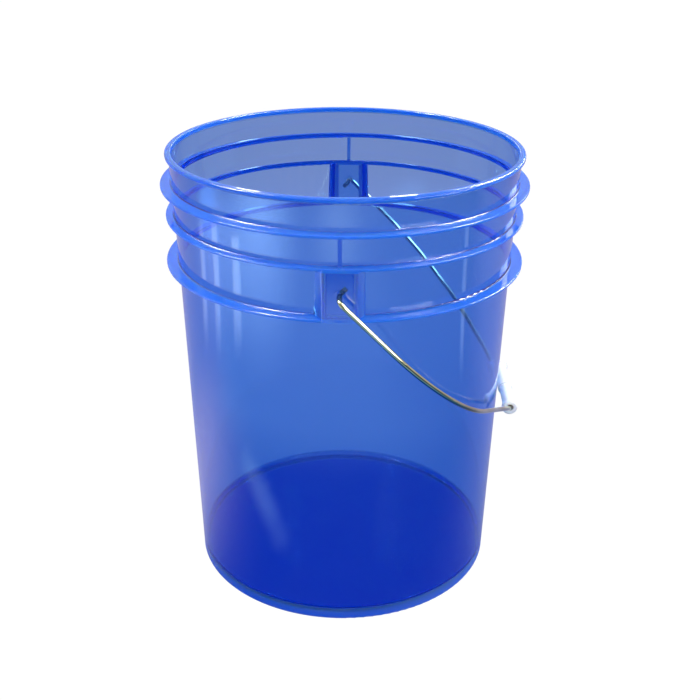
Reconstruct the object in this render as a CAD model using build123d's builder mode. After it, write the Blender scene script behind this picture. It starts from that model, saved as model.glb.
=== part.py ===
from build123d import *
from collections import namedtuple
from math import cos, radians, sin, tan
import os

# An open five-gallon plastic pail with a swinging steel wire bail and a plastic hand grip.
# Millimetres. Z up, origin at the centre of the foot ring, on the surface the pail stands on.
# The ears that hold the bail face +Y and -Y, and at rest the bail hangs down on the +X side.

os.makedirs("parts", exist_ok=True)

# ---- Driving dimensions: bucket ----
total_height = 366.6
foot_radius = 129.2
shoulder_height = 277.0
shoulder_radius = 136.6
neck_radius = 139.6
neck_height = 350.0
wall_thickness = 2.3

rim_radius = 143.0
rim_depth = 3.3
rim_top_rounding = 1.8
rim_edge_rounding = 1.0
rim_inner_rounding = 1.0
rim_root_rounding = 1.5

floor_recess = 5.5
floor_thickness = 2.3
floor_corner_rounding = 5.0
recess_corner_rounding = 1.5
foot_rounding = 0.8

ring_thickness = 2.2
ring_edge_rounding = 0.7
Ring = namedtuple("Ring", "height edge_radius upper_root_rounding lower_root_rounding")
upper_ring = Ring(340.5, 147.8, 1.6, 0.8)
middle_ring = Ring(315.3, 144.7, 1.2, 0.8)
lower_ring = Ring(shoulder_height, 146.2, 1.5, 0.8)

# ---- Driving dimensions: ears ----
ear_root_width = 37.0
ear_root_distance = 136.0  # from the bucket's axis to where the ear's sides meet the wall
ear_panel_width = 25.4
ear_panel_rounding = 1.8
ear_panel_thickness = 2.2
pocket_root_width = 27.0
pocket_panel_width = 21.0
pocket_rounding = 0.5
ear_inset_at_top = 0.2  # the panel leans, and at the top it stands this far behind the middle ring
ear_boss_radius = 4.8
ear_boss_height = 0.8
rib_width = 3.0
rib_inset_below = 0.7
rib_inset_above = 1.5
fusing_overlap = 0.8  # how far ears and ribs reach into the wall and rings that carry them

# ---- Driving dimensions: bail ----
hinge_height = 296.3
wire_radius = 1.9
wire_hole_clearance = 0.6
bail_rest_angle = 45.1  # below the horizontal
bail_reach = 200.4  # from the hinge line to the grip's axis
leg_distance = 157.4  # from the bucket's axis to each leg
leg_length = 52.2  # straight part of each leg
shoulder_bend_radius = 130.5
shoulder_turn = 55.8
grip_bend_radius = 14.0
leg_bend_radius = 5.0
hook_distance = 140.6
hook_length = 6.5
hook_bend_radius = 3.5
wire_end_rounding = 0.5

# ---- Driving dimensions: grip ----
grip_length = 81.3
grip_body_radius = 5.2
grip_flange_radius = 6.6
grip_flange_width = 4.0
grip_collar_radius = 6.2
grip_collar_width = 10.0
grip_bore_clearance = 0.8
grip_step_rounding = 0.6
collar_step_rounding = 0.45
grip_end_rounding = 1.6
grip_mouth_rounding = 0.8


def wall_radius(height):
    """Radius of the outside of the bucket's wall, which has one draft below the shoulder and one above."""
    if height <= shoulder_height:
        return foot_radius + (shoulder_radius - foot_radius) * height / shoulder_height
    rise = (height - shoulder_height) / (neck_height - shoulder_height)
    return shoulder_radius + (neck_radius - shoulder_radius) * rise


def inner_radius(height):
    """Radius of the inside of the bucket's wall."""
    return wall_radius(height) - wall_thickness


# ---- Bucket shell: wall, rim, rings, floor and foot in one moulding ----


def ring_corners(ring):
    """Corners of one ring's section with their roundings, from its lower root to its upper root."""
    low = ring.height - ring_thickness / 2
    high = ring.height + ring_thickness / 2
    return [
        ((wall_radius(low), low), ring.lower_root_rounding),
        ((ring.edge_radius, low), ring_edge_rounding),
        ((ring.edge_radius, high), ring_edge_rounding),
        ((wall_radius(high), high), ring.upper_root_rounding),
    ]


rim_underside = total_height - rim_depth
floor_top = floor_recess + floor_thickness

shell_corners = [
    ((foot_radius, 0), foot_rounding),
    *ring_corners(lower_ring),
    *ring_corners(middle_ring),
    *ring_corners(upper_ring),
    ((wall_radius(rim_underside), rim_underside), rim_root_rounding),
    ((rim_radius, rim_underside), rim_edge_rounding),
    ((rim_radius, total_height), rim_top_rounding),
    ((inner_radius(rim_underside), total_height), rim_inner_rounding),
    ((inner_radius(shoulder_height), shoulder_height), 0),
    ((inner_radius(floor_top), floor_top), floor_corner_rounding),
    ((0, floor_top), 0),
    ((0, floor_recess), 0),
    ((inner_radius(floor_recess), floor_recess), recess_corner_rounding),
    ((inner_radius(0), 0), foot_rounding),
]

with BuildPart() as shell:
    with BuildSketch(Plane.XZ):
        with BuildLine():
            FilletPolyline(
                [point for point, rounding in shell_corners],
                radius=[rounding for point, rounding in shell_corners],
                close=True,
            )
        make_face()
    revolve(axis=Axis.Z)

# ---- Ear on the -Y side: a hollow box, open below, with a bored panel and a rib above it ----

ear_bottom = lower_ring.height - ring_thickness / 2
ear_top = middle_ring.height
pocket_bottom = ear_bottom - wall_thickness
pocket_top = middle_ring.height - ring_thickness / 2 - fusing_overlap
panel_at_bottom = lower_ring.edge_radius
panel_at_top = middle_ring.edge_radius - ear_inset_at_top


def panel_distance(height):
    """Distance from the bucket's axis to the outside of the leaning panel."""
    rise = (height - ear_bottom) / (ear_top - ear_bottom)
    return panel_at_bottom + (panel_at_top - panel_at_bottom) * rise


def box_section(height, front_distance, front_width, root_width, rounding):
    """Plan of a box on the wall at one height: a flat front, and sides that spread to root_width."""
    depth = front_distance - ear_root_distance
    spread = (root_width - front_width) / 2 / depth
    hidden_depth = 2 * wall_thickness
    root_half = root_width / 2 + spread * hidden_depth
    root_y = hidden_depth - ear_root_distance
    with BuildSketch(Plane.XY.offset(height)) as section:
        with BuildLine():
            FilletPolyline(
                (-root_half, root_y),
                (-front_width / 2, -front_distance),
                (front_width / 2, -front_distance),
                (root_half, root_y),
                radius=[rounding, rounding],
            )
            Line((root_half, root_y), (-root_half, root_y))
        make_face()
    return section.sketch


def ear_section(height):
    """Plan of the ear's outside at one height."""
    return box_section(
        height, panel_distance(height), ear_panel_width, ear_root_width, ear_panel_rounding
    )


def pocket_section(height):
    """Plan of the hollow behind the ear's panel at one height."""
    pocket_front = panel_distance(height) - ear_panel_thickness
    return box_section(
        height, pocket_front, pocket_panel_width, pocket_root_width, pocket_rounding
    )


def wall_core(margin):
    """Solid that fills the bucket out to its wall's outside plus margin, over the ear's height."""
    low = shoulder_height - 2 * ring_thickness
    high = upper_ring.height
    with BuildPart() as core:
        with BuildSketch(Plane.XY.offset(low)):
            Circle(wall_radius(shoulder_height) + margin)
        with BuildSketch(Plane.XY.offset(high)):
            Circle(wall_radius(high) + margin)
        loft()
    return core.part


with BuildPart() as pocket:
    loft([pocket_section(pocket_bottom), pocket_section(pocket_top)])
    add(wall_core(fusing_overlap / 2), mode=Mode.SUBTRACT)

with BuildPart() as ear:
    loft([ear_section(ear_bottom), ear_section(ear_top)])
    boss_face = panel_distance(hinge_height) + ear_boss_height
    with BuildSketch(Plane.XZ.offset(boss_face)):
        with Locations((0, hinge_height)):
            Circle(ear_boss_radius)
    extrude(amount=-(ear_boss_height + ear_panel_thickness / 2))
    with BuildSketch(Plane.XZ.offset(boss_face)):
        with Locations((0, hinge_height)):
            Circle(wire_radius + wire_hole_clearance)
    extrude(amount=-(ear_boss_height + 2 * ear_panel_thickness), mode=Mode.SUBTRACT)
    rib_low = middle_ring.height
    rib_high = upper_ring.height
    with BuildSketch(Plane.YZ):
        Polygon(
            (-wall_radius(rib_low), rib_low),
            (-(middle_ring.edge_radius - rib_inset_below), rib_low),
            (-(upper_ring.edge_radius - rib_inset_above), rib_high),
            (-wall_radius(rib_high), rib_high),
            align=None,
        )
    extrude(amount=rib_width / 2, both=True)
    add(wall_core(-fusing_overlap), mode=Mode.SUBTRACT)

with BuildPart() as bucket:
    add(shell.part)
    for turn in (0, 180):
        add(ear.part.rotate(Axis.Z, turn))
        add(pocket.part.rotate(Axis.Z, turn), mode=Mode.SUBTRACT)

bucket.part.label = "bucket"
export_step(bucket.part, "parts/bucket.step")

# ---- Bail: one wire, bent flat, with a hook at each end turned out of that flat ----

bail_plane = Plane(
    origin=(0, 0, hinge_height),
    x_dir=(cos(radians(bail_rest_angle)), 0, -sin(radians(bail_rest_angle))),
    z_dir=(sin(radians(bail_rest_angle)), 0, cos(radians(bail_rest_angle))),
)
shoulder_corner = leg_length + shoulder_bend_radius * tan(radians(shoulder_turn / 2))
grip_corner = leg_distance - (bail_reach - shoulder_corner) * tan(radians(shoulder_turn))

near_half = [
    (0, -hook_distance, hook_length),
    (0, -hook_distance, 0),
    (0, -leg_distance, 0),
    (shoulder_corner, -leg_distance, 0),
    (bail_reach, -grip_corner, 0),
]
far_half = [(x, -y, -z) for x, y, z in reversed(near_half)]
half_bends = [hook_bend_radius, leg_bend_radius, shoulder_bend_radius, grip_bend_radius]

with BuildPart() as bail_wire:
    with BuildLine(bail_plane) as route:
        FilletPolyline(near_half + far_half, radius=half_bends + half_bends[::-1])
    with BuildSketch(Plane(origin=route.line @ 0, z_dir=route.line % 0)):
        Circle(wire_radius)
    sweep(path=route.line)
    end_edges = bail_wire.edges().filter_by(GeomType.CIRCLE).filter_by(
        lambda edge: min((edge.arc_center - route.line @ end).length for end in (0, 1)) < wire_radius
    )
    fillet(end_edges, radius=wire_end_rounding)

bail_wire.part.label = "bail_wire"
export_step(bail_wire.part, "parts/bail_wire.step")

# ---- Grip: a sleeve that turns on the straight middle of the wire ----

grip_axis_plane = Plane(
    origin=bail_plane.from_local_coords((bail_reach, 0, 0)),
    x_dir=(0, 1, 0),
    z_dir=bail_plane.z_dir,
)
grip_bore = wire_radius + grip_bore_clearance
half_length = grip_length / 2
flange_start = half_length - grip_flange_width
collar_half = grip_collar_width / 2

grip_half_corners = [
    ((collar_half, grip_collar_radius), collar_step_rounding),
    ((collar_half, grip_body_radius), collar_step_rounding),
    ((flange_start, grip_body_radius), grip_step_rounding),
    ((flange_start, grip_flange_radius), grip_step_rounding),
    ((half_length, grip_flange_radius), grip_end_rounding),
    ((half_length, grip_bore), grip_mouth_rounding),
]
grip_corners = grip_half_corners + [
    ((-along, radius), rounding) for (along, radius), rounding in reversed(grip_half_corners)
]

with BuildPart() as grip:
    with BuildSketch(grip_axis_plane):
        with BuildLine():
            FilletPolyline(
                [point for point, rounding in grip_corners],
                radius=[rounding for point, rounding in grip_corners],
                close=True,
            )
        make_face()
    revolve(axis=Axis(grip_axis_plane.origin, grip_axis_plane.x_dir))

grip.part.label = "bail_grip"
export_step(grip.part, "parts/bail_grip.step")
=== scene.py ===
from math import pi, radians

import bpy
from mathutils import Matrix, Vector


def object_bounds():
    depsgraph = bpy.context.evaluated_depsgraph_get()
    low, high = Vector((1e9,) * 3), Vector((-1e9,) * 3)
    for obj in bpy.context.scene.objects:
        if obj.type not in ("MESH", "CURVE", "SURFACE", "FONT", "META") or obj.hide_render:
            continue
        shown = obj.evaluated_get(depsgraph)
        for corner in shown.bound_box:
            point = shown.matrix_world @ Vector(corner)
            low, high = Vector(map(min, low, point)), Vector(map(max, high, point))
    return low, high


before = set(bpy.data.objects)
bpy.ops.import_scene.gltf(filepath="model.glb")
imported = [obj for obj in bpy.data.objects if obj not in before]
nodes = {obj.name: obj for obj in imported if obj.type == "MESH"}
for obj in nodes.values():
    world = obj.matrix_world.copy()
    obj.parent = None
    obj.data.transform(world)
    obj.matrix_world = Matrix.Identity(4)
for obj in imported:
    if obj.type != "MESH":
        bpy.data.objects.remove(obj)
cad_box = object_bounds()

# ---- Camera ----

CAMERA_DISTANCE = 0.8404  # level distance from the bucket's axis
CAMERA_HEIGHT = 0.5817
CAMERA_AZIMUTH = radians(1.34)
CAMERA_PITCH = radians(25.17)
CAMERA_YAW = radians(0.35)
CAMERA_ROLL = radians(0.505)
CAMERA_LENS = 54.96
SENSOR_WIDTH = 36.0
CAMERA_REACH = 50.0

# ---- Where the bucket's thick parts are, as (where their look starts, where it is full) ----

RINGS = ((0.2770, 0.1366), (0.3153, 0.1382), (0.3405, 0.1392))  # height, and the wall's radius there
RING_HEIGHT = (0.0028, 0.0018)  # above or below the ring's middle, with its roots
RING_PROUD = (0.0001, 0.0009)  # out from the wall
RIM_HEIGHT = (0.3615, 0.3635)
FLOOR_HEIGHT = (0.0088, 0.0078)
FOOT_HEIGHT = (0.0115, 0.0105)
FOOT_RADIUS_RANGE = (0.1270, 0.1278)  # its outer face, and not its inner one
EAR_BOTTOM = (0.2754, 0.2759)
EAR_TOP = (0.3158, 0.3153)
EAR_PROUD = (0.1380, 0.1390)
EAR_SIDE = (0.0085, 0.0105)  # sideways from the middle of the ear to its side walls
EAR_ROOT = (0.0200, 0.0190)

# ---- Bucket plastic ----

WALL_TINT = (0.57, 0.74, 0.95)
THICK_TINT = (0.035, 0.18, 0.62)
THICK_PAINTED_GLOW = (0.0, 0.032, 0.16)  # painted glow: a faint blue that the thick parts give off, standing in for light the dye scatters inside them
DYE_COLOUR = (0.09, 0.59, 0.965)
DYE_DENSITY = 220.0
WALL_CLARITY = 0.995
THICK_CLARITY = 0.45
EAR_SIDE_THICKNESS = 0.75  # each of these is a share of the look of the rim and rings
EAR_PANEL_THICKNESS = 0.05
FLOOR_THICKNESS = 0.5
FOOT_THICKNESS = 0.78
MILKY_FROM = 0.5  # parts with a smaller share are clear
PLASTIC_IOR = 1.49

# ---- Table: its glow by distance from the bucket's axis, and what the walls mirror in it ----

TABLE_SIZE = 14.0
TABLE_DROP = 0.0002  # the table lies just under the foot
BACKDROP_STRENGTH = 1.02
FOOT_RADIUS = 0.1285
SHADOW_EDGE = 0.1305
GLOW_REACH = 1.6
# painted shadow: the table under the foot, dark blue as if lit only through the plastic
UNDER_BUCKET_SHADOW = (0.002, 0.07, 0.62)
BACK_SHADOW_AND_GLOW = (  # radius, colour of the table behind the bucket: a painted shadow of the bucket near its foot, lighter further out
    (FOOT_RADIUS, UNDER_BUCKET_SHADOW),
    (SHADOW_EDGE, (0.32, 0.36, 0.66)),
    (0.45, (0.42, 0.43, 0.72)),
    (0.9, (0.5, 0.47, 0.72)),
    (1.3, (0.5, 0.45, 0.63)),
)
FRONT_SHADOW_AND_GLOW = (  # and in front of it: a painted blue shadow of the bucket, then a painted bright band that the walls mirror, dark far out
    (FOOT_RADIUS, UNDER_BUCKET_SHADOW),
    (SHADOW_EDGE, (0.0, 0.05, 0.35)),
    (0.33, (0.0, 0.12, 0.35)),
    (0.42, (0.3, 0.6, 0.9)),
    (1.05, (0.5, 0.6, 0.7)),
    (1.25, (0.04, 0.04, 0.04)),
)
BACK_Y = (-0.15, 0.05)  # where the front's glow ends, and where the back's is full
RIGHT_SHADE = 0.25  # how much light the table keeps on the right
RIGHT_X = (0.1, 0.5)
RIGHT_Y = (0.2, -0.1)
POOLS = (  # x, y, radius, colour of soft round pools of light
    (-0.05, -0.92, 0.30, (0.9, 1.1, 1.0)),
    (-0.75, -0.60, 0.50, (2.2, 3.2, 4.2)),
    (-0.90, -0.10, 0.45, (1.0, 1.3, 2.0)),
    (-1.05, 0.05, 0.25, (0.1, 0.8, 2.0)),
    (-0.280, -0.158, 0.045, (0.3, 0.45, 0.4)),
    (-0.245, -0.175, 0.045, (0.5, 0.7, 0.65)),
    (-0.205, -0.188, 0.045, (0.6, 0.9, 0.85)),
    (-0.165, -0.192, 0.040, (0.5, 0.75, 0.7)),
    (-0.125, -0.187, 0.035, (0.3, 0.45, 0.4)),
    (-0.32, 0.00, 0.26, (0.6, 0.35, 0.2)),
)
PANELS = (  # azimuth from the left towards the camera, half width, radii, colour of bright strips
    (radians(-11), radians(2.5), (0.50, 0.72, 0.90, 0.98), (1.0, 1.0, 0.9)),
    (radians(3), radians(2.5), (0.50, 0.72, 0.92, 1.00), (1.5, 1.6, 1.4)),
    (radians(21), radians(3.0), (0.52, 0.72, 0.88, 0.92), (2.0, 2.2, 2.0)),
    (radians(172), radians(1.5), (0.45, 0.65, 0.95, 1.00), (1.0, 1.2, 1.2)),
)
PANEL_EDGE = (1.4, 0.6)  # times the half width

# ---- Room ----

ROOM_LOW = (0.05, (0.5, 0.5, 0.5))  # sine of the elevation, colour
ROOM_HIGH = (0.45, (0.8, 0.8, 0.8))
HAZE = (0.5, 0.47, 0.70)  # the room as seen through both walls of the bucket
FRONT_DARKNESS = 0.93  # the room behind the camera is dark near the horizon
FRONT_OF_ROOM = (0.0, -0.6)
LOW_IN_ROOM = (0.5, 0.2)
WHITE = (1.0, 1.0, 1.0)

# ---- Lights: name, direction and distance from the rim's middle, width, height, radiance, only mirrored ----

SOFTBOXES = (
    ("softbox_left", (-0.66, -0.05, 0.75), 1.5, 0.6, 1.0, 8.5, False),
    ("softbox_right", (0.72, 0.10, 0.66), 1.5, 0.6, 1.0, 7.5, False),
    ("softbox_low", (0.68, -0.66, 0.28), 1.5, 0.7, 0.4, 17.0, False),
    ("softbox_back", (0.62, 0.72, 0.30), 1.5, 0.4, 0.4, 6.0, False),
    ("streak_left", (-0.66, -0.05, 0.75), 1.45, 0.6, 0.6, 36.0, True),
    ("streak_right", (0.72, 0.10, 0.66), 1.45, 0.7, 0.6, 36.0, True),
    ("strip_back_right", (0.065, 1.0, 0.35), 1.6, 0.06, 0.4, 9.0, False),
    ("strip_back_left", (-0.17, 1.0, 0.35), 1.6, 0.05, 0.4, 6.0, False),
)
LIGHT_BOUNCES = 32  # enough for light caught inside the thick rings to come out again

# ---- Node helpers ----

MIX_COLOURS_IN = (6, 7)  # a Mix node has inputs of every type, and these two are its colours
MIX_COLOUR_OUT = 2
NOISE_RANGE = (0.3, 0.7)  # where nearly all of a noise texture's values lie
ONE_WALL_FACES = 2  # faces that light crosses on its way through one wall


def math_node(tree, operation, first, second):
    """A Math node: each input is another node's output or a plain number."""
    node = tree.nodes.new("ShaderNodeMath")
    node.operation = operation
    for socket, value in zip(node.inputs, (first, second)):
        if isinstance(value, (int, float)):
            socket.default_value = value
        else:
            tree.links.new(value, socket)
    return node.outputs["Value"]


def vector_node(tree, operation, *values):
    """A Vector Math node: each input is another node's output or a plain vector."""
    node = tree.nodes.new("ShaderNodeVectorMath")
    node.operation = operation
    for socket, value in zip(node.inputs, values):
        if isinstance(value, tuple):
            socket.default_value = value
        else:
            tree.links.new(value, socket)
    return node


def length_of(tree, vector):
    return vector_node(tree, "LENGTH", vector).outputs["Value"]


def scaled(tree, colour, factor):
    node = vector_node(tree, "SCALE", colour)
    tree.links.new(factor, node.inputs["Scale"])
    return node.outputs["Vector"]


def added_light(tree, base, colour, share):
    """A base colour plus a share of a second, plain colour."""
    return vector_node(tree, "MULTIPLY_ADD", colour, share, base).outputs["Vector"]


def smooth_step(tree, value, low, high):
    """0 on the low side, 1 on the high side; low may be the greater number."""
    node = tree.nodes.new("ShaderNodeMapRange")
    node.interpolation_type = "SMOOTHSTEP"
    node.inputs["From Min"].default_value = low
    node.inputs["From Max"].default_value = high
    tree.links.new(value, node.inputs["Value"])
    return node.outputs["Result"]


def product(tree, first, *others):
    total = first
    for other in others:
        total = math_node(tree, "MULTIPLY", total, other)
    return total


def mix_colours(tree, factor, first, second):
    """A colour Mix node: each colour is another node's output or a plain colour."""
    node = tree.nodes.new("ShaderNodeMix")
    node.data_type = "RGBA"
    tree.links.new(factor, node.inputs["Factor"])
    for index, colour in zip(MIX_COLOURS_IN, (first, second)):
        if isinstance(colour, tuple):
            node.inputs[index].default_value = (*colour, 1.0)
        else:
            tree.links.new(colour, node.inputs[index])
    return node.outputs[MIX_COLOUR_OUT]


def colour_ramp(tree, value, stops):
    """A Color Ramp node through (position, colour) stops in rising order."""
    ramp = tree.nodes.new("ShaderNodeValToRGB")
    tree.links.new(value, ramp.inputs["Fac"])
    elements = ramp.color_ramp.elements
    while len(elements) < len(stops):
        elements.new(1.0)
    for element, (position, colour) in zip(elements, stops):
        element.position = position
        element.color = (*colour, 1.0)
    return ramp.outputs["Color"]


def split_axes(tree, vector):
    """A vector's X, Y and Z."""
    split = tree.nodes.new("ShaderNodeSeparateXYZ")
    tree.links.new(vector, split.inputs["Vector"])
    return split.outputs["X"], split.outputs["Y"], split.outputs["Z"]


def object_noise(tree, scale, stretch=(1.0, 1.0, 1.0), detail=3.0):
    """A noise texture in the piece's own coordinates, scaled per metre."""
    place = tree.nodes.new("ShaderNodeTexCoord")
    mapping = tree.nodes.new("ShaderNodeMapping")
    mapping.inputs["Scale"].default_value = stretch
    noise = tree.nodes.new("ShaderNodeTexNoise")
    noise.inputs["Scale"].default_value = scale
    noise.inputs["Detail"].default_value = detail
    tree.links.new(place.outputs["Object"], mapping.inputs["Vector"])
    tree.links.new(mapping.outputs["Vector"], noise.inputs["Vector"])
    return noise.outputs["Fac"]


def spread(tree, noise, low, high):
    """Maps a noise's middle range onto low..high."""
    remap = tree.nodes.new("ShaderNodeMapRange")
    remap.inputs["From Min"].default_value = NOISE_RANGE[0]
    remap.inputs["From Max"].default_value = NOISE_RANGE[1]
    remap.inputs["To Min"].default_value = low
    remap.inputs["To Max"].default_value = high
    tree.links.new(noise, remap.inputs["Value"])
    return remap.outputs["Result"]


def bump(tree, height, distance, strength):
    node = tree.nodes.new("ShaderNodeBump")
    node.inputs["Strength"].default_value = strength
    node.inputs["Distance"].default_value = distance
    tree.links.new(height, node.inputs["Height"])
    return node.outputs["Normal"]


def empty_material(name):
    """A node material with nothing in it but its output."""
    material = bpy.data.materials.new(name)
    material.use_nodes = True
    tree = material.node_tree
    tree.nodes.clear()
    output = tree.nodes.new("ShaderNodeOutputMaterial")
    return material, tree, output


def principled_material(name):
    material, tree, output = empty_material(name)
    shader = tree.nodes.new("ShaderNodeBsdfPrincipled")
    tree.links.new(shader.outputs["BSDF"], output.inputs["Surface"])
    return material, tree, shader, output


# ---- The bucket's thick parts ----


def ring_mask(tree, height, radius, ring_height, wall_radius):
    """1 on a ring and its roots, where they stand out of the wall."""
    offset = math_node(tree, "ABSOLUTE", math_node(tree, "SUBTRACT", height, ring_height), 0.0)
    near = smooth_step(tree, offset, *RING_HEIGHT)
    proud = smooth_step(tree, radius, wall_radius + RING_PROUD[0], wall_radius + RING_PROUD[1])
    return product(tree, near, proud)


def foot_mask(tree, height, radius):
    """The foot's share on its outer face."""
    low = smooth_step(tree, height, *FOOT_HEIGHT)
    outer = smooth_step(tree, radius, *FOOT_RADIUS_RANGE)
    return product(tree, low, outer, FOOT_THICKNESS)


def ear_mask(tree, sideways, height, radius):
    """The side walls' share on the side walls of the ears, and less on their panels."""
    side = smooth_step(tree, sideways, *EAR_SIDE)
    level = math_node(tree, "MAXIMUM", product(tree, side, EAR_SIDE_THICKNESS), EAR_PANEL_THICKNESS)
    above = smooth_step(tree, height, *EAR_BOTTOM)
    below = smooth_step(tree, height, *EAR_TOP)
    proud = smooth_step(tree, radius, *EAR_PROUD)
    inside = smooth_step(tree, sideways, *EAR_ROOT)
    return product(tree, level, above, below, proud, inside)


def thick_parts_mask(tree):
    """1 on the rim and the rings, less on the other thick parts, and 0 on the thin wall."""
    place = tree.nodes.new("ShaderNodeTexCoord")
    across, along, height = split_axes(tree, place.outputs["Object"])
    flat = tree.nodes.new("ShaderNodeCombineXYZ")
    tree.links.new(across, flat.inputs["X"])
    tree.links.new(along, flat.inputs["Y"])
    radius = length_of(tree, flat.outputs["Vector"])
    sideways = math_node(tree, "ABSOLUTE", across, 0.0)
    floor = product(tree, smooth_step(tree, height, *FLOOR_HEIGHT), FLOOR_THICKNESS)
    parts = [floor, foot_mask(tree, height, radius), ear_mask(tree, sideways, height, radius)]
    for ring_height, wall_radius in RINGS:
        parts.append(ring_mask(tree, height, radius, ring_height, wall_radius))
    mask = smooth_step(tree, height, *RIM_HEIGHT)
    for part in parts:
        mask = math_node(tree, "MAXIMUM", mask, part)
    return mask


# ---- Object materials ----


def bucket_plastic():
    """Clear plastic dyed through with blue. The colour comes from the thickness that light crosses,
    and the rim and rings, which are thick, are a little milky. It is one material for the whole
    bucket, because an absorbing volume can't change inside a closed solid."""
    material, tree, shader, output = principled_material("bucket_plastic")
    mask = thick_parts_mask(tree)
    tree.links.new(mix_colours(tree, mask, WALL_TINT, THICK_TINT), shader.inputs["Base Color"])
    clear = tree.nodes.new("ShaderNodeMapRange")
    clear.inputs["From Min"].default_value = MILKY_FROM
    clear.inputs["To Min"].default_value = WALL_CLARITY
    clear.inputs["To Max"].default_value = THICK_CLARITY
    tree.links.new(mask, clear.inputs["Value"])
    tree.links.new(clear.outputs["Result"], shader.inputs["Transmission Weight"])
    shader.inputs["IOR"].default_value = PLASTIC_IOR
    milky = smooth_step(tree, mask, MILKY_FROM, 1.0)
    # Painted glow: the milky thick parts give off a faint blue light of their own.
    glow = mix_colours(tree, milky, (0.0, 0.0, 0.0), THICK_PAINTED_GLOW)
    tree.links.new(glow, shader.inputs["Emission Color"])
    shader.inputs["Emission Strength"].default_value = 1.0
    shader.inputs["Subsurface Weight"].default_value = 1.0
    shader.inputs["Subsurface Radius"].default_value = (0.2, 0.5, 1.0)
    shader.inputs["Subsurface Scale"].default_value = 0.006
    fine = object_noise(tree, scale=60.0)
    tree.links.new(spread(tree, fine, low=0.015, high=0.05), shader.inputs["Roughness"])
    waves = object_noise(tree, scale=18.0, stretch=(1.0, 1.0, 0.25), detail=1.0)
    tree.links.new(bump(tree, waves, distance=0.0006, strength=0.25), shader.inputs["Normal"])
    dye = tree.nodes.new("ShaderNodeVolumeAbsorption")
    dye.inputs["Color"].default_value = (*DYE_COLOUR, 1.0)
    dye.inputs["Density"].default_value = DYE_DENSITY
    tree.links.new(dye.outputs["Volume"], output.inputs["Volume"])
    return material


def plated_wire():
    """Bright zinc plating with a faint yellow passivation and a fine grain."""
    material, tree, shader, _ = principled_material("plated_wire")
    tones = ((0.35, (0.45, 0.43, 0.26)), (0.7, (0.68, 0.66, 0.50)))
    tone = colour_ramp(tree, object_noise(tree, scale=35.0), tones)
    tree.links.new(tone, shader.inputs["Base Color"])
    shader.inputs["Metallic"].default_value = 1.0
    grain = object_noise(tree, scale=900.0)
    tree.links.new(spread(tree, grain, low=0.08, high=0.18), shader.inputs["Roughness"])
    tree.links.new(bump(tree, grain, distance=0.00004, strength=0.4), shader.inputs["Normal"])
    return material


def grip_plastic():
    """Opaque white moulded plastic with a fine satin skin."""
    material, tree, shader, _ = principled_material("grip_plastic")
    tones = ((0.3, (0.72, 0.74, 0.78)), (0.7, (0.78, 0.80, 0.84)))
    tone = colour_ramp(tree, object_noise(tree, scale=40.0), tones)
    tree.links.new(tone, shader.inputs["Base Color"])
    skin = object_noise(tree, scale=700.0)
    tree.links.new(spread(tree, skin, low=0.30, high=0.42), shader.inputs["Roughness"])
    tree.links.new(bump(tree, skin, distance=0.00003, strength=0.4), shader.inputs["Normal"])
    shader.inputs["Subsurface Weight"].default_value = 0.15
    shader.inputs["Subsurface Scale"].default_value = 0.004
    return material


# ---- CAD nodes: same shape, finished materials, smooth shading ----


def finish_node(name, material):
    piece = nodes[name]
    piece.data.materials.clear()
    piece.data.materials.append(material)
    for polygon in piece.data.polygons:
        polygon.use_smooth = True


finish_node("bucket", bucket_plastic())
finish_node("bail_wire", plated_wire())
finish_node("bail_grip", grip_plastic())


# ---- Table ----


def seen_through_two_walls(tree, path):
    """1 for light that crosses more than one wall on its way to the eye."""
    return math_node(tree, "GREATER_THAN", path.outputs["Transmission Depth"], ONE_WALL_FACES)


def ring_glow(tree, distance, stops):
    """A colour by distance from the bucket's axis."""
    share = math_node(tree, "DIVIDE", distance, GLOW_REACH)
    return colour_ramp(tree, share, [(radius / GLOW_REACH, colour) for radius, colour in stops])


def table_glow(tree, position, distance):
    """The table's own light: a back, a front and a shaded right side."""
    x, y, _ = split_axes(tree, position)
    behind = smooth_step(tree, y, *BACK_Y)
    front = ring_glow(tree, distance, FRONT_SHADOW_AND_GLOW)
    back = ring_glow(tree, distance, BACK_SHADOW_AND_GLOW)
    right = smooth_step(tree, x, *RIGHT_X)
    near = smooth_step(tree, y, *RIGHT_Y)
    loss = product(tree, right, near, RIGHT_SHADE - 1.0)
    return scaled(tree, mix_colours(tree, behind, front, back), math_node(tree, "ADD", loss, 1.0))


def pools_of_light(tree, base, position):
    """Adds the soft round pools of light that the walls mirror."""
    total = base
    for x, y, radius, colour in POOLS:
        away = vector_node(tree, "DISTANCE", position, (x, y, 0.0)).outputs["Value"]
        total = added_light(tree, total, colour, smooth_step(tree, away, radius, 0.0))
    return total


def panels_of_light(tree, base, position, distance):
    """Adds the bright upright strips that the walls mirror, laid out along the table's radii."""
    x, y, _ = split_axes(tree, position)
    leftwards = math_node(tree, "MULTIPLY", x, -1.0)
    frontwards = math_node(tree, "MULTIPLY", y, -1.0)
    azimuth = math_node(tree, "ARCTAN2", frontwards, leftwards)
    total = base
    for middle, half_width, radii, colour in PANELS:
        turn = math_node(tree, "ABSOLUTE", math_node(tree, "SUBTRACT", azimuth, middle), 0.0)
        across = smooth_step(tree, turn, half_width * PANEL_EDGE[0], half_width * PANEL_EDGE[1])
        start, full, fading, end = radii
        rise = smooth_step(tree, distance, start, full)
        fall = smooth_step(tree, distance, end, fading)
        total = added_light(tree, total, colour, product(tree, across, rise, fall))
    return total


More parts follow.
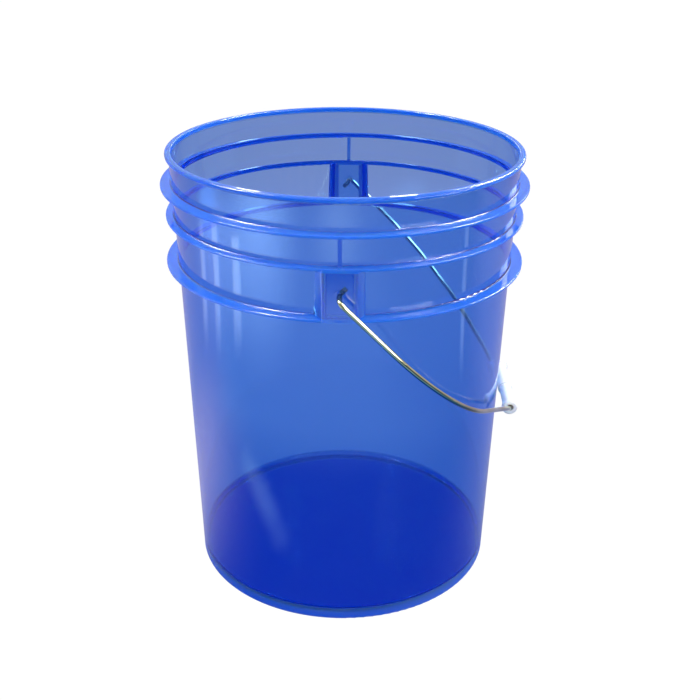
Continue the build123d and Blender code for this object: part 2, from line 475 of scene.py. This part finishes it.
def table_material():
    """White to the camera. Every other ray sees the glow, and the walls mirror the pools and panels."""
    material, tree, output = empty_material("pale_table")
    geometry = tree.nodes.new("ShaderNodeNewGeometry")
    path = tree.nodes.new("ShaderNodeLightPath")
    position = geometry.outputs["Position"]
    distance = length_of(tree, position)
    mirrored = table_glow(tree, position, distance)
    mirrored = pools_of_light(tree, mirrored, position)
    mirrored = panels_of_light(tree, mirrored, position, distance)
    through = ring_glow(tree, distance, BACK_SHADOW_AND_GLOW)
    table = tree.nodes.new("ShaderNodeEmission")
    seen = mix_colours(tree, seen_through_two_walls(tree, path), mirrored, through)
    tree.links.new(seen, table.inputs["Color"])
    backdrop = tree.nodes.new("ShaderNodeEmission")
    backdrop.inputs["Color"].default_value = (*WHITE, 1.0)
    backdrop.inputs["Strength"].default_value = BACKDROP_STRENGTH
    mix = tree.nodes.new("ShaderNodeMixShader")
    tree.links.new(path.outputs["Is Camera Ray"], mix.inputs[0])
    tree.links.new(table.outputs["Emission"], mix.inputs[1])
    tree.links.new(backdrop.outputs["Emission"], mix.inputs[2])
    tree.links.new(mix.outputs["Shader"], output.inputs["Surface"])
    return material


def add_floor():
    bpy.ops.mesh.primitive_plane_add(size=TABLE_SIZE, location=(0, 0, -TABLE_DROP))
    floor = bpy.context.object
    floor.name = "floor"
    floor.data.materials.append(table_material())


# ---- Room, lights and camera ----


def set_world():
    """A grey room, dark behind the camera, that the camera itself sees as white."""
    world = bpy.data.worlds.new("studio")
    bpy.context.scene.world = world
    world.use_nodes = True
    tree = world.node_tree
    place = tree.nodes.new("ShaderNodeTexCoord")
    _, y, z = split_axes(tree, place.outputs["Generated"])
    front = smooth_step(tree, y, *FRONT_OF_ROOM)
    low = smooth_step(tree, z, *LOW_IN_ROOM)
    loss = product(tree, front, low, FRONT_DARKNESS)
    room = scaled(
        tree, colour_ramp(tree, z, (ROOM_LOW, ROOM_HIGH)), math_node(tree, "SUBTRACT", 1.0, loss)
    )
    path = tree.nodes.new("ShaderNodeLightPath")
    hazy = mix_colours(tree, seen_through_two_walls(tree, path), room, HAZE)
    seen = mix_colours(tree, path.outputs["Is Camera Ray"], hazy, WHITE)
    tree.links.new(seen, tree.nodes["Background"].inputs["Color"])


def add_softbox(name, direction, distance, width, height, radiance, only_mirrored):
    """An upright rectangular soft light that faces the rim's middle and isn't seen through glass."""
    light = bpy.data.lights.new(name, "AREA")
    light.shape = "RECTANGLE"
    light.size = width
    light.size_y = height
    light.energy = radiance * pi * width * height
    holder = bpy.data.objects.new(name, light)
    toward = Vector(direction).normalized()
    rim_middle = Vector((0, 0, cad_box[1].z))
    holder.location = rim_middle + toward * distance
    holder.rotation_euler = (-toward).to_track_quat("-Z", "Y").to_euler()
    holder.visible_transmission = False
    holder.visible_diffuse = not only_mirrored
    bpy.context.scene.collection.objects.link(holder)


def add_camera():
    data = bpy.data.cameras.new("camera")
    data.lens = CAMERA_LENS
    data.sensor_width = SENSOR_WIDTH
    data.clip_end = CAMERA_REACH
    camera = bpy.data.objects.new("camera", data)
    bpy.context.scene.collection.objects.link(camera)
    around = Matrix.Rotation(CAMERA_AZIMUTH, 4, "Z")
    aim = (
        around
        @ Matrix.Rotation(-CAMERA_YAW, 4, "Z")
        @ Matrix.Rotation(pi / 2 - CAMERA_PITCH, 4, "X")
        @ Matrix.Rotation(CAMERA_ROLL, 4, "Z")
    )
    place = around @ Vector((0, -CAMERA_DISTANCE, CAMERA_HEIGHT))
    camera.matrix_world = Matrix.Translation(place) @ aim
    bpy.context.scene.camera = camera


add_floor()
set_world()
for softbox in SOFTBOXES:
    add_softbox(*softbox)
add_camera()

scene = bpy.context.scene
scene.view_settings.view_transform = "Standard"
scene.view_settings.look = "None"
scene.cycles.max_bounces = LIGHT_BOUNCES
scene.cycles.glossy_bounces = LIGHT_BOUNCES
scene.cycles.transmission_bounces = LIGHT_BOUNCES
